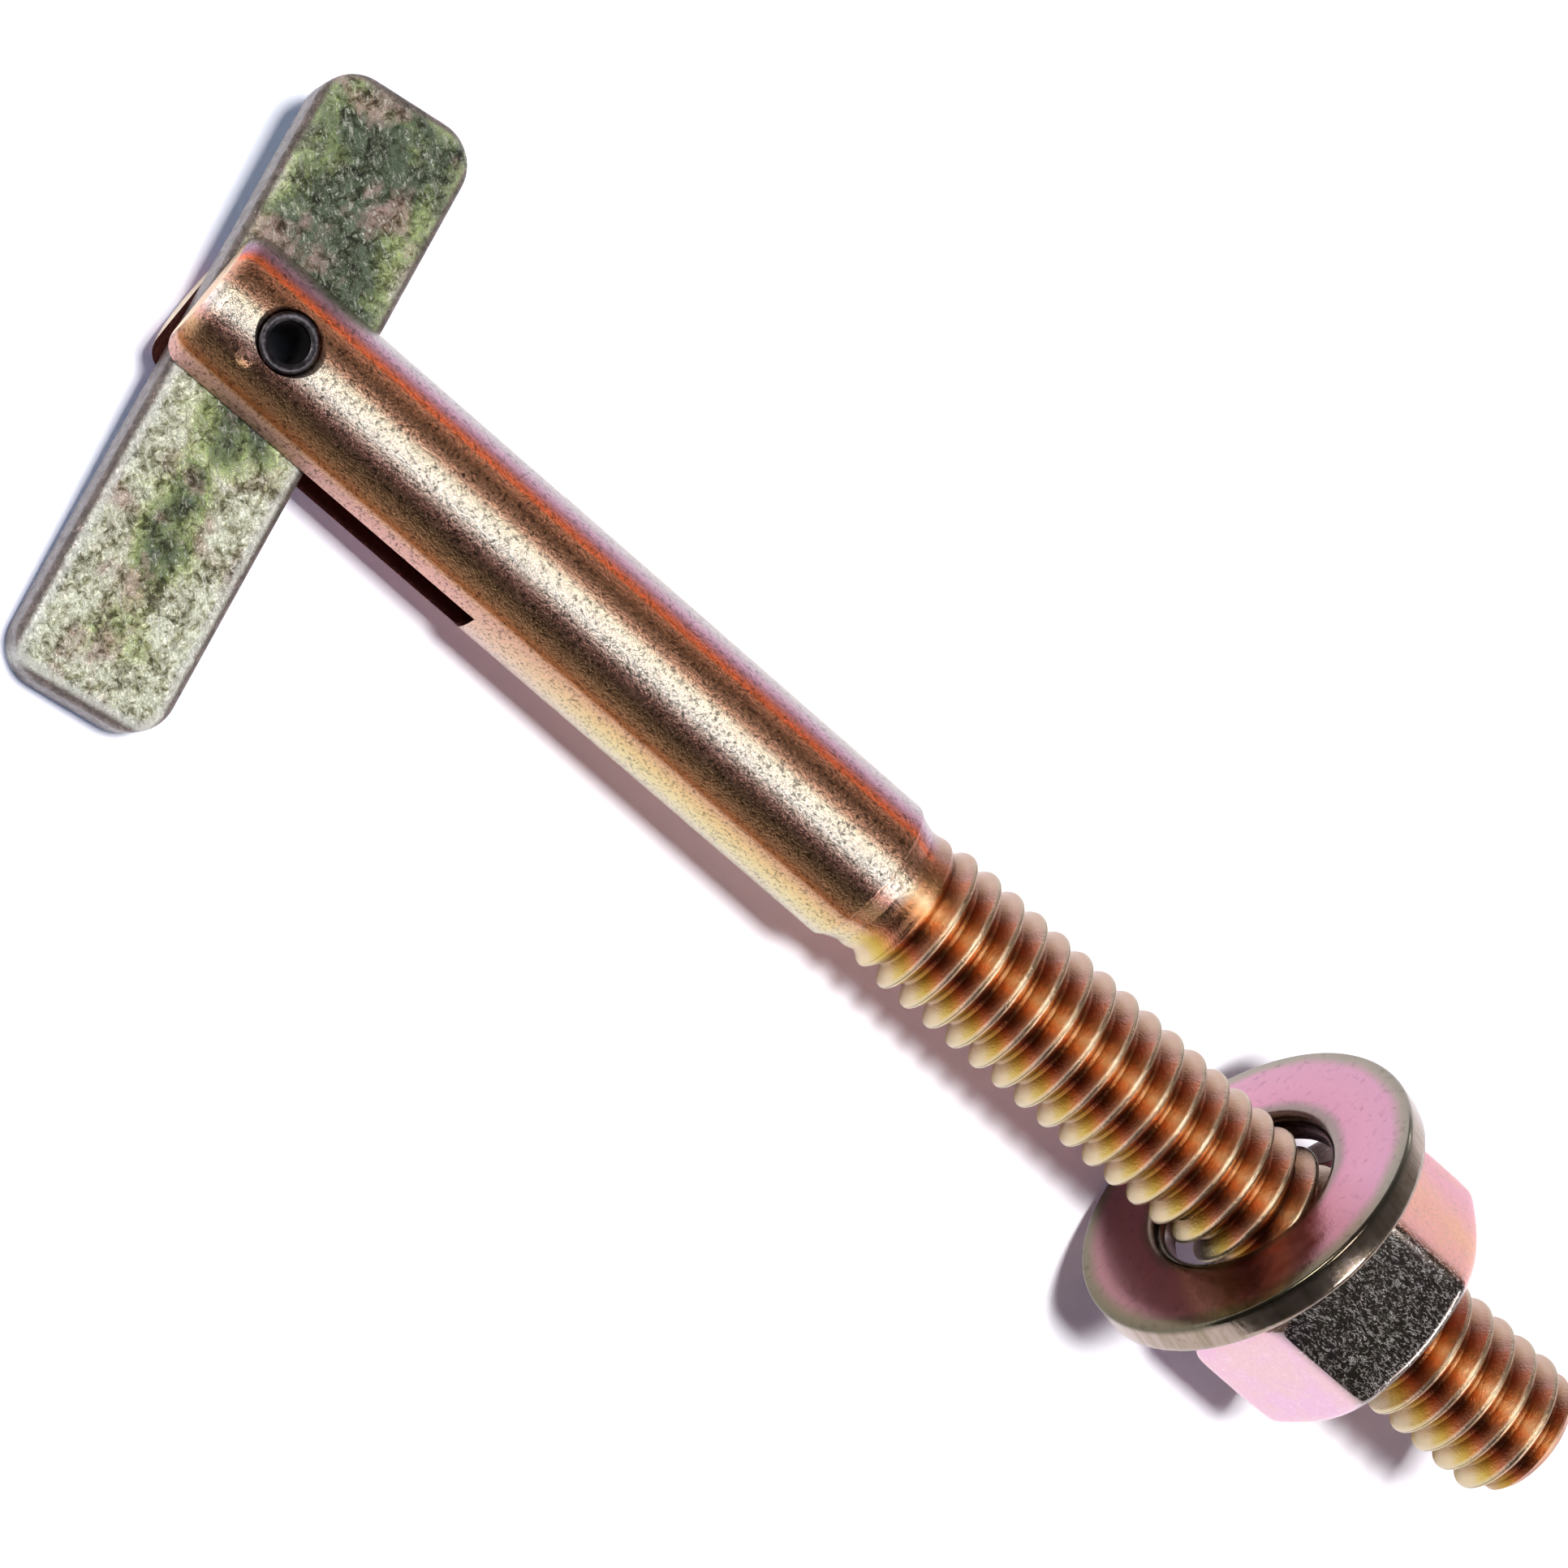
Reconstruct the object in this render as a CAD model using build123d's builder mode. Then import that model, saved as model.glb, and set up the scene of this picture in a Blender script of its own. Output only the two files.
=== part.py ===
"""Hollow wall anchor: a slotted stud with a pivoting toggle bar, a flat washer and a hex nut.

Every piece is drawn about the stud's axis, which runs along +Z from the toggle end to the
threaded end, with the pivot along +Y and the bar's long arm towards -X. The finished anchor is
then laid down the way it rests on a table: stud along +X, pivot pointing up.
"""

import os
from math import acos, asin, cos, degrees, radians, sin, tan

from build123d import *

os.makedirs("parts", exist_ok=True)

# Stud, turned in one piece: plain shank, shoulder and 1/4-20 threaded length
stud_length = 72.2
shank_diameter = 6.5
shank_length = 34.6
thread_diameter = 6.35
neck_diameter = 5.7
shoulder_length = 0.85
run_out_length = 2.6
thread_end_chamfer = 0.75
toggle_end_rounding = 0.8

# Slot in the toggle end, and where the pivot crosses it
slot_depth = 15.75
pin_station = 3.4

# Pivot pin, a hollow tube pressed through both cheeks of the slot
pin_diameter = 2.38
pin_bore_diameter = 1.54
pin_end_break = 0.12
pin_inset = 0.22
pin_seat_clearance = 0.01

# Toggle bar, blanked from plate
long_arm = 15.5
short_arm = 11.0
bar_width = 6.6
bar_thickness = 2.3
bar_corner_radius = 1.75
bar_die_roll = 0.45
bar_burr_break = 0.1
bar_side_clearance = 0.1
pivot_clearance = 0.08
bar_swing = 80.5

# Flat washer, loose on the thread and leaning back on the nut
washer_diameter = 15.2
washer_hole_diameter = 7.7
washer_thickness = 1.45
washer_rim_roll = 0.3
washer_hole_roll = 0.65
washer_burr_break = 0.1
washer_station = 55.1
washer_lean = 15.0
washer_turn = 7.5
washer_slip = 12.0
washer_clearance = 0.03

# Hex nut
nut_across_flats = 10.9
nut_height = 5.56
nut_face_diameter = 10.8
nut_chamfer_angle = 30.0
nut_mouth_chamfer = 0.5
nut_turn = 14.7
nut_thread_clearance = 0.05
nut_washer_clearance = 0.04

# ------------------------------------------------------------ values that follow
shank_radius = shank_diameter / 2
thread_radius = thread_diameter / 2
neck_radius = neck_diameter / 2
neck_station = shank_length + shoulder_length
slot_width = bar_thickness + 2 * bar_side_clearance
bar_length = long_arm + short_arm
swing = radians(bar_swing)
lean = radians(washer_lean)
turn = radians(washer_turn)
slip = radians(washer_slip)
washer_radius = washer_diameter / 2
washer_tilt = acos(cos(lean) * cos(turn))
nut_face_radius = nut_face_diameter / 2
nut_corner_radius = nut_across_flats / 2 / cos(radians(30))
nut_bore_radius = thread_radius + nut_thread_clearance

# The leaning hole is lower than its diameter. Its rolled edge sits on the stud, far enough
# out for the washer to slide over the shank too
hole_roll_radius = washer_hole_diameter / 2 + washer_hole_roll
half_opening = hole_roll_radius * cos(lean) - washer_hole_roll * (1 - sin(lean))
washer_lift = half_opening - shank_radius - washer_clearance
washer_centre = (washer_lift * sin(slip), washer_lift * cos(slip), washer_station)
washer_normal = (-sin(turn), -cos(turn) * sin(lean), cos(turn) * cos(lean))

# The washer's back meets the nut's bearing face at one point of its rim
nut_station = (
    washer_station
    + washer_thickness / cos(washer_tilt)
    + (nut_face_radius - washer_lift) * tan(washer_tilt)
    + nut_washer_clearance
)

# ------------------------------------------------------------ stud
with BuildPart() as anchor_stud:
    with BuildSketch(Plane.XZ):
        with BuildLine():
            Polyline(
                (0, 0),
                (shank_radius, 0),
                (shank_radius, shank_length),
                (neck_radius, neck_station),
                (thread_radius, neck_station + run_out_length),
                (thread_radius, stud_length - thread_end_chamfer),
                (thread_radius - thread_end_chamfer, stud_length),
                (0, stud_length),
                close=True,
            )
        make_face()
    revolve(axis=Axis.Z)
    toggle_end = anchor_stud.faces().sort_by(Axis.Z)[0]
    fillet(toggle_end.edges(), radius=toggle_end_rounding)
    with BuildSketch(Plane.XY):
        Rectangle(shank_diameter + 1, slot_width)
    extrude(amount=slot_depth, mode=Mode.SUBTRACT)
    with BuildSketch(Plane.XZ):
        with Locations((0, pin_station)):
            Circle(pin_diameter / 2 + pin_seat_clearance)
    extrude(amount=shank_radius, both=True, mode=Mode.SUBTRACT)

# ------------------------------------------------------------ pivot pin
with BuildPart() as pivot_pin:
    with BuildSketch(Plane.XZ):
        with Locations((0, pin_station)):
            Circle(pin_diameter / 2)
            Circle(pin_bore_diameter / 2, mode=Mode.SUBTRACT)
    extrude(amount=shank_radius - pin_inset, both=True)
    chamfer(pivot_pin.edges().filter_by(GeomType.CIRCLE), length=pin_end_break)

# ------------------------------------------------------------ toggle bar
bar_plane = Plane(
    origin=(0, -bar_thickness / 2, pin_station),
    x_dir=(-sin(swing), 0, cos(swing)),
    z_dir=(0, 1, 0),
)
with BuildPart() as toggle_bar:
    with BuildSketch(bar_plane):
        with Locations(((long_arm - short_arm) / 2, 0)):
            RectangleRounded(bar_length, bar_width, bar_corner_radius)
    extrude(amount=bar_thickness)
    fillet(toggle_bar.edges().group_by(Axis.Y)[-1], radius=bar_die_roll)
    chamfer(toggle_bar.edges().group_by(Axis.Y)[0], length=bar_burr_break)
    with BuildSketch(bar_plane):
        Circle(pin_diameter / 2 + pivot_clearance)
    extrude(amount=bar_thickness, mode=Mode.SUBTRACT)

# ------------------------------------------------------------ flat washer
washer_plane = Plane(origin=washer_centre, x_dir=(cos(turn), 0, sin(turn)), z_dir=washer_normal)
with BuildPart() as flat_washer:
    with BuildSketch(Plane.XY):
        Circle(washer_radius)
        Circle(washer_hole_diameter / 2, mode=Mode.SUBTRACT)
    extrude(amount=washer_thickness)
    front_rim = flat_washer.edges().group_by(Axis.Z)[0].sort_by(SortBy.RADIUS)[-1]
    fillet(front_rim, radius=washer_rim_roll)
    front_hole = flat_washer.edges().group_by(Axis.Z)[0].sort_by(SortBy.RADIUS)[0]
    fillet(front_hole, radius=washer_hole_roll)
    chamfer(flat_washer.edges().group_by(Axis.Z)[-1], length=washer_burr_break)

# ------------------------------------------------------------ hex nut
corner_drop = (nut_corner_radius - nut_face_radius) * tan(radians(nut_chamfer_angle))
nut_top = nut_station + nut_height
with BuildPart() as hex_nut:
    with BuildSketch(Plane.XY.offset(nut_station)):
        RegularPolygon(nut_corner_radius, 6, rotation=nut_turn)
    extrude(amount=nut_height)
    with BuildSketch(Plane.XZ):
        with BuildLine():
            Polyline(
                (nut_bore_radius + nut_mouth_chamfer, nut_station),
                (nut_face_radius, nut_station),
                (nut_corner_radius, nut_station + corner_drop),
                (nut_corner_radius, nut_top - corner_drop),
                (nut_face_radius, nut_top),
                (nut_bore_radius + nut_mouth_chamfer, nut_top),
                (nut_bore_radius, nut_top - nut_mouth_chamfer),
                (nut_bore_radius, nut_station + nut_mouth_chamfer),
                close=True,
            )
        make_face()
    revolve(axis=Axis.Z, mode=Mode.INTERSECT)

# ------------------------------------------------------------ lying at rest
# The table is touched by the rim of the toggle end, the washer's rim and the long arm's tip
axis_rise = washer_radius * cos(lean) + washer_thickness * sin(lean) - washer_lift - shank_radius
upright_lean = lean - asin(axis_rise / washer_station)
washer_height = washer_radius * cos(upright_lean) + washer_thickness * sin(upright_lean)
pitch = asin((washer_height - washer_lift - shank_radius) / washer_station)
pin_height = shank_radius + pin_station * sin(pitch)
roll = asin((pin_height - bar_thickness / 2) / long_arm)

stud_axis = Vector(cos(pitch), 0, sin(pitch))
across = Vector(0, 1, 0).rotate(Axis((0, 0, 0), stud_axis), degrees(roll))
lying = Plane(origin=(0, 0, 0), x_dir=across, z_dir=stud_axis)

flat_washer.part.locate(washer_plane.location)
pieces = [anchor_stud.part, pivot_pin.part, toggle_bar.part, flat_washer.part, hex_nut.part]
for piece in pieces:
    piece.locate(lying.location * piece.location)

# The row's origin is on the table, under the middle of the anchor
box = Compound(pieces).bounding_box()
to_origin = Pos(-box.center().X, -box.center().Y, -box.min.Z)
for piece in pieces:
    piece.locate(to_origin * piece.location)

anchor_stud.part.label = "anchor_stud"
pivot_pin.part.label = "pivot_pin"
toggle_bar.part.label = "toggle_bar"
flat_washer.part.label = "flat_washer"
hex_nut.part.label = "hex_nut"

export_step(anchor_stud.part, "parts/anchor_stud.step")
export_step(pivot_pin.part, "parts/pivot_pin.step")
export_step(toggle_bar.part, "parts/toggle_bar.step")
export_step(flat_washer.part, "parts/flat_washer.step")
export_step(hex_nut.part, "parts/hex_nut.step")
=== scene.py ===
"""Looks for the hollow wall anchor: plated steel, a rolled thread, and white paper under it.

Each piece is drawn in millimetres in a frame of its own, the stud's as in the CAD source:
Z runs from the toggle end to the threaded end, and Y along the pivot. piece() then puts it
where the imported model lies.
"""

from math import cos, pi, radians, sin, sqrt, tan

import bmesh
import bpy
from mathutils import Matrix, Vector


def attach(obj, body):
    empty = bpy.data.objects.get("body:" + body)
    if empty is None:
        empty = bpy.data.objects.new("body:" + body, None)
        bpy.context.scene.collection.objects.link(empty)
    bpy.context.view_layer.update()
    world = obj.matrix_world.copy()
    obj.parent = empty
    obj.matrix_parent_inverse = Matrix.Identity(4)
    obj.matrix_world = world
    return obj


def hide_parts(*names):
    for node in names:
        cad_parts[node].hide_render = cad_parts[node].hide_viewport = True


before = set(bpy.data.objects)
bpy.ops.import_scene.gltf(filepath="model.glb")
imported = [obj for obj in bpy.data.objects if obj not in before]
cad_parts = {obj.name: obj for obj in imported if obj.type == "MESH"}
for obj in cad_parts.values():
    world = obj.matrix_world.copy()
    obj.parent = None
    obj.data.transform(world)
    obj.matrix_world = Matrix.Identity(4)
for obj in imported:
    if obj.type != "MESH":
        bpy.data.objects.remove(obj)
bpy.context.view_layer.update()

MM = 0.001

# ------------------------------------------------------------ sizes, in mm, as in the CAD source
STUD_LENGTH = 72.2
SHANK_RADIUS = 3.25
SHANK_LENGTH = 34.6
SHOULDER_LENGTH = 0.85
NECK_RADIUS = 2.85
TOGGLE_END_ROUNDING = 0.8
SLOT_DEPTH = 15.75
SLOT_WIDTH = 2.5
THREAD_RADIUS = 3.175
THREAD_END_CHAMFER = 0.75
RUN_OUT_LENGTH = 2.6

PIN_STATION = 3.4
PIN_RADIUS = 1.19
PIN_BORE_RADIUS = 0.77
PIN_REACH = 3.03
PIN_END_BREAK = 0.12
PIN_HOLE_RADIUS = 1.2

LONG_ARM = 15.5
SHORT_ARM = 11.0
BAR_WIDTH = 6.6
BAR_THICKNESS = 2.3
BAR_CORNER = 1.75
BAR_DIE_ROLL = 0.45
BAR_BURR = 0.1
BAR_HOLE_RADIUS = 1.27
BAR_SWING = radians(80.5)

WASHER_RADIUS = 7.6
WASHER_HOLE_RADIUS = 3.85
WASHER_THICKNESS = 1.45
WASHER_RIM_ROLL = 0.3
WASHER_HOLE_ROLL = 0.65
WASHER_BURR = 0.1
WASHER_STATION = 55.1
WASHER_LIFT = 0.5849
WASHER_LEAN = radians(15)
WASHER_TURN = radians(7.5)
WASHER_SLIP = radians(12)

NUT_STATION = 58.1016
NUT_HEIGHT = 5.56
NUT_FLAT_RADIUS = 5.45
NUT_FACE_RADIUS = 5.4
NUT_CHAMFER = radians(30)
NUT_TURN = radians(14.7)
NUT_BORE_RADIUS = 3.225
NUT_MOUTH = 0.5

# How the anchor lies on the table, in degrees, and where its toggle end stands, in metres
STUD_PITCH = 4.06106
STUD_ROLL = 8.68595
TOE = Vector((-0.0353218, 0.0021698, 0.0032308))

# ------------------------------------------------------------ finer shapes, in mm and degrees
# A "ring" is an extra edge loop that far from a crease, which keeps flat faces evenly shaded
SHANK_RING = 2.0
SHOULDER_ROUNDING = 0.25
SHOULDER_START = 0.1
SHOULDER_SWEEP = 65
NECK_ROUNDING = 0.03

THREAD_DEPTH = 0.74
THREAD_PITCH = 1.27
THREAD_PHASE = 0.62
SPARE_TURNS = 2

# One turn of the thread, as (part of the pitch from the crest, part of the depth). The shallow
# groove along the crest is the seam that thread rolling leaves
THREAD_TURN = (
    (-0.5, 1.0),
    (-0.43, 0.97),
    (-0.385, 0.86),
    (-0.24, 0.46),
    (-0.13, 0.16),
    (-0.09, 0.055),
    (-0.045, 0.01),
    (-0.012, 0.0),
    (0.0, 0.045),
    (0.012, 0.0),
    (0.045, 0.01),
    (0.09, 0.055),
    (0.13, 0.16),
    (0.24, 0.46),
    (0.385, 0.86),
    (0.43, 0.97),
)

# The pin's hole flares towards the shank's surface
PIN_HOLE_FLARE = 0.44
PIN_FLARE_DEPTH = 0.35
PIN_FLARE_LENGTH = 0.6
# The lip of the pin's bore, as (outwards, inwards) in parts of the end break
PIN_LIP = ((1.6, 0.0), (0.5, 0.5), (0.0, 2.0))

# The bar's blanked edge from below, as (inset, height): a ring, a burr break and a torn face
BAR_EDGE = ((0.6, 0.0), (BAR_BURR, 0.0), (0.02, BAR_BURR), (0.03, 0.75), (0.0, 0.82))
BAR_ROLL_WIDTH = 0.75
BAR_TOP_RING = 0.25
# The bar's corners tighten by this part of the inset, but never under the least corner
BAR_CORNER_FALL = 0.8
BAR_LEAST_CORNER = 0.2

# The washer's front falls away towards its rim, as (inset from the rim, part of the dip)
WASHER_FALL = ((1.3, 0.0), (0.9, 0.12), (0.55, 0.55))
# The dip, and the width and height of the rim's rounding, in parts of the rim roll
WASHER_DIP = 0.3
WASHER_ROUNDING = (0.6, 0.7)
WASHER_FRONT_RING = 0.3
WASHER_BACK_RING = 0.4
WASHER_RIM_RING = 0.2
WASHER_BURR_LEAN = 0.02

# Levels of the nut's side above its end, closest together in the chamfer
NUT_LEVELS = (0.0, 0.04, 0.1, 0.18, 0.27, 0.37, 0.48, 0.6, 0.75, 0.95, 1.2, 1.6)
NUT_ROUNDING = 0.35
NUT_END_RING = 0.5

# Steps round each turned shape and along each rounding
STUD_STEPS = 96
PIN_STEPS = 72
HOLE_STEPS = 64
WASHER_STEPS = 240
NUT_STEPS = 288
TOE_ROUND_STEPS = 8
SHOULDER_STEPS = 5
PIN_ROUND_STEPS = 4
BAR_CORNER_STEPS = 12
BAR_ROLL_STEPS = 9
WASHER_HOLE_STEPS = 9
WASHER_RIM_STEPS = 8

CUT_MARGIN = 1.0
MERGE_DISTANCE = 2e-4
LEAST_EDGE = 1e-5


def frame_of(x, y, z, origin):
    """The matrix whose columns are three axes and an origin."""
    return Matrix.Translation(origin) @ Matrix((x, y, z)).transposed().to_4x4()


stud_axis = Vector((cos(radians(STUD_PITCH)), 0, sin(radians(STUD_PITCH))))
across = Matrix.Rotation(radians(STUD_ROLL), 3, stud_axis) @ Vector((0, 1, 0))
lying = frame_of(across, stud_axis.cross(across), stud_axis, TOE) @ Matrix.Scale(MM, 4)

# Where the pin, the bar and the washer stand in the stud's frame
pin_place = frame_of((1, 0, 0), (0, 0, -1), (0, 1, 0), (0, 0, PIN_STATION))
bar_place = frame_of(
    (-sin(BAR_SWING), 0, cos(BAR_SWING)),
    (cos(BAR_SWING), 0, sin(BAR_SWING)),
    (0, 1, 0),
    (0, -BAR_THICKNESS / 2, PIN_STATION),
)
washer_normal = Vector(
    (
        -sin(WASHER_TURN),
        -cos(WASHER_TURN) * sin(WASHER_LEAN),
        cos(WASHER_TURN) * cos(WASHER_LEAN),
    )
)
washer_side = Vector((cos(WASHER_TURN), 0, sin(WASHER_TURN)))
washer_side = (washer_side - washer_normal * washer_side.dot(washer_normal)).normalized()
washer_place = frame_of(
    washer_side,
    washer_normal.cross(washer_side),
    washer_normal,
    (WASHER_LIFT * sin(WASHER_SLIP), WASHER_LIFT * cos(WASHER_SLIP), WASHER_STATION),
)


# ------------------------------------------------------------ mesh helpers
def ring(radius, station, count):
    """Points of a circle about the Z axis."""
    turns = [2 * pi * k / count for k in range(count)]
    return [Vector((radius * cos(t), radius * sin(t), station)) for t in turns]


def arc(centre, size, start, stop, steps):
    """(radius, station) points of an elliptical arc in the lathe's half plane, in degrees."""
    turns = [radians(start + (stop - start) * k / steps) for k in range(steps + 1)]
    return [(centre[0] + size[0] * cos(t), centre[1] + size[1] * sin(t)) for t in turns]


def mirrored(profile):
    """A profile's points on the other side of station 0, in the opposite order."""
    return [(radius, -station) for radius, station in reversed(profile)]


def skin(bm, rows, closed=False):
    """Quads between rows of points. Each row is closed on itself, and so may the rows be."""
    grid = [[bm.verts.new(point) for point in row] for row in rows]
    pairs = list(zip(grid, grid[1:])) + ([(grid[-1], grid[0])] if closed else [])
    for low, high in pairs:
        for k in range(len(low)):
            n = (k + 1) % len(low)
            bm.faces.new((low[k], low[n], high[n], high[k]))
    return grid


def lathe(profile, steps, closed=False):
    """A shape turned about Z from (radius, station) points: a ring if the profile is closed,
    and otherwise a solid with two flat ends."""
    bm = bmesh.new()
    grid = skin(bm, [ring(r, z, steps) for r, z in profile], closed)
    if not closed:
        bm.faces.new(grid[0])
        bm.faces.new(grid[-1])
    return tidy(bm)


def tidy(bm):
    """Merges doubled points and turns every face outwards."""
    bmesh.ops.remove_doubles(bm, verts=bm.verts, dist=MERGE_DISTANCE)
    bmesh.ops.dissolve_degenerate(bm, edges=bm.edges, dist=LEAST_EDGE)
    bmesh.ops.recalc_face_normals(bm, faces=bm.faces)
    return bm


def cut(bm, cutter):
    """The solid bm less the closed solid cutter."""
    objects = []
    for source in (bm, cutter):
        mesh = bpy.data.meshes.new("cutting")
        source.to_mesh(mesh)
        source.free()
        objects.append(bpy.data.objects.new("cutting", mesh))
        bpy.context.scene.collection.objects.link(objects[-1])
    step = objects[0].modifiers.new("cut", "BOOLEAN")
    step.operation = "DIFFERENCE"
    step.solver = "EXACT"
    step.object = objects[1]
    depsgraph = bpy.context.evaluated_depsgraph_get()
    shaped = bpy.data.meshes.new_from_object(objects[0].evaluated_get(depsgraph))
    result = bmesh.new()
    result.from_mesh(shaped)
    for obj in objects:
        mesh = obj.data
        bpy.data.objects.remove(obj)
        bpy.data.meshes.remove(mesh)
    bpy.data.meshes.remove(shaped)
    return result


def piece(name, bm, place, body, finish, crease=38):
    """Ends a drawing: smooth faces, sharp creases, and its place, finish and body; the node's own
    CAD mesh is hidden.
    """
    bm.transform(lying @ place)
    for face in bm.faces:
        face.smooth = True
    for edge in bm.edges:
        edge.smooth = edge.calc_face_angle(0) < radians(crease)
    mesh = bpy.data.meshes.new(name)
    bm.to_mesh(mesh)
    bm.free()
    mesh.materials.append(finish(lying @ place))
    obj = bpy.data.objects.new(name, mesh)
    bpy.context.scene.collection.objects.link(obj)
    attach(obj, body)
    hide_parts(name.removesuffix("_looks"))


# ------------------------------------------------------------ the thread
def helix(bottom, top, steps, radius_at):
    """Rows of a right-hand thread between two stations. They climb one pitch a turn and are
    held at the stations, and radius_at(station, depth) gives each point's radius."""
    first = int((bottom - THREAD_PHASE) // THREAD_PITCH) - SPARE_TURNS
    last = int((top - THREAD_PHASE) // THREAD_PITCH) + SPARE_TURNS
    rows = []
    for turn in range(first, last):
        for part, depth in THREAD_TURN:
            row = []
            for k in range(steps + 1):
                climb = THREAD_PHASE + (turn + part + k / steps) * THREAD_PITCH
                station = min(max(climb, bottom), top)
                radius = radius_at(station, depth)
                angle = 2 * pi * k / steps
                row.append(Vector((radius * cos(angle), radius * sin(angle), station)))
            rows.append(row)
    return rows


def helix_skin(bm, rows):
    """Quads over a thread's rows; tidy() joins the strip's two long sides."""
    grid = [[bm.verts.new(point) for point in row] for row in rows]
    for low, high in zip(grid, grid[1:]):
        for k in range(len(low) - 1):
            if low[k].co != high[k].co or low[k + 1].co != high[k + 1].co:
                bm.faces.new((low[k], low[k + 1], high[k + 1], high[k]))


# ------------------------------------------------------------ pieces
def draw_stud():
    """Shank with its slot and cross hole, shoulder, and the thread with its run-out."""
    neck = SHANK_LENGTH + SHOULDER_LENGTH
    toe, soft = TOGGLE_END_ROUNDING, SHOULDER_ROUNDING
    end_radius = THREAD_RADIUS - THREAD_END_CHAMFER

    def radius_at(station, depth):
        grown = min((station - neck) / RUN_OUT_LENGTH, 1.0)
        grown = grown * grown * (3 - 2 * grown)
        full = THREAD_RADIUS - depth * THREAD_DEPTH
        radius = NECK_RADIUS + (full - NECK_RADIUS) * grown
        return min(radius, end_radius + (STUD_LENGTH - station))

    profile = arc((SHANK_RADIUS - toe, toe), (toe, toe), -90, 0, TOE_ROUND_STEPS)
    profile += [(SHANK_RADIUS, SHANK_RING), (SHANK_RADIUS, SHANK_LENGTH - SHANK_RING)]
    corner = (SHANK_RADIUS - soft, SHANK_LENGTH - SHOULDER_START)
    profile += arc(corner, (soft, soft), 0, SHOULDER_SWEEP, SHOULDER_STEPS)
    profile += [(NECK_RADIUS + NECK_ROUNDING, neck - NECK_ROUNDING), (NECK_RADIUS, neck)]
    bm = bmesh.new()
    grid = skin(bm, [ring(r, z, STUD_STEPS) for r, z in profile])
    bm.faces.new(grid[0])
    helix_skin(bm, helix(neck, STUD_LENGTH, STUD_STEPS, radius_at))
    bm.faces.new([bm.verts.new(p) for p in ring(end_radius, STUD_LENGTH, STUD_STEPS)])
    tidy(bm)

    reach = SHANK_RADIUS + CUT_MARGIN
    slot = bmesh.new()
    bmesh.ops.create_cube(slot, size=1)
    bmesh.ops.scale(slot, verts=slot.verts, vec=(2 * reach, SLOT_WIDTH, 2 * SLOT_DEPTH))
    bm = cut(bm, slot)
    deep, wide = SHANK_RADIUS - PIN_FLARE_DEPTH, PIN_HOLE_RADIUS + PIN_HOLE_FLARE
    side = [(PIN_HOLE_RADIUS, deep), (wide, deep + PIN_FLARE_LENGTH), (wide, reach)]
    hole = lathe(mirrored(side) + side, HOLE_STEPS)
    hole.transform(pin_place)
    return cut(bm, hole)


def draw_pin():
    """A tube with softened ends."""
    soft, end = PIN_END_BREAK, PIN_REACH
    side = [(PIN_RADIUS, end - soft)]
    side += arc((PIN_RADIUS - soft, end - soft), (soft, soft), 15, 90, PIN_ROUND_STEPS)
    side += [(PIN_BORE_RADIUS + soft * out, end - soft * back) for out, back in PIN_LIP]
    return lathe(side + mirrored(side), PIN_STEPS, closed=True)


def bar_outline(inset, height):
    """The bar's rounded outline, drawn in by inset."""
    corner = max(BAR_CORNER - inset * BAR_CORNER_FALL, BAR_LEAST_CORNER)
    middle = (LONG_ARM - SHORT_ARM) / 2
    half_length = (LONG_ARM + SHORT_ARM) / 2 - inset - corner
    half_width = BAR_WIDTH / 2 - inset - corner
    points = []
    for quarter, (sx, sy) in enumerate(((1, 1), (-1, 1), (-1, -1), (1, -1))):
        for k in range(BAR_CORNER_STEPS + 1):
            t = radians(90 * quarter + 90 / BAR_CORNER_STEPS * k)
            x = middle + sx * half_length + corner * cos(t)
            points.append(Vector((x, sy * half_width + corner * sin(t), height)))
    return points


def draw_bar():
    """The blanked bar: rolled edge above, torn edge and a small burr break below."""
    roll, wide, top = BAR_DIE_ROLL, BAR_ROLL_WIDTH, BAR_THICKNESS
    rows = [*BAR_EDGE, (0.0, top - roll)]
    for k in range(1, BAR_ROLL_STEPS + 1):
        t = radians(90 / BAR_ROLL_STEPS * k)
        rows.append((wide * (1 - cos(t)), top - roll + roll * sin(t)))
    rows.append((wide + BAR_TOP_RING, top))
    bm = bmesh.new()
    grid = skin(bm, [bar_outline(inset, height) for inset, height in rows])
    bm.faces.new(grid[0])
    bm.faces.new(grid[-1])
    tidy(bm)
    side = [(BAR_HOLE_RADIUS, -CUT_MARGIN), (BAR_HOLE_RADIUS, top + CUT_MARGIN)]
    return cut(bm, lathe(side, HOLE_STEPS))


def draw_washer():
    """The blanked washer: rolled edges on its front, burr breaks on its back."""
    inner, outer, back = WASHER_HOLE_RADIUS, WASHER_RADIUS, WASHER_THICKNESS
    roll, tight, burr = WASHER_HOLE_ROLL, WASHER_RIM_ROLL, WASHER_BURR
    dip = tight * WASHER_DIP
    wide, high = (tight * part for part in WASHER_ROUNDING)
    profile = arc((inner + roll, roll), (roll, roll), 180, 270, WASHER_HOLE_STEPS)
    profile += [(inner + roll + WASHER_FRONT_RING, 0)]
    profile += [(outer - inset, dip * part) for inset, part in WASHER_FALL]
    profile += arc((outer - wide, dip + high), (wide, high), -80, 0, WASHER_RIM_STEPS)
    profile += [
        (outer, back - burr - WASHER_RIM_RING),
        (outer - WASHER_BURR_LEAN, back - burr),
        (outer - burr, back),
        (outer - WASHER_BACK_RING, back),
        (inner + WASHER_BACK_RING, back),
        (inner + burr, back),
        (inner, back - burr),
    ]
    return lathe(profile, WASHER_STEPS, closed=True)


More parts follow.
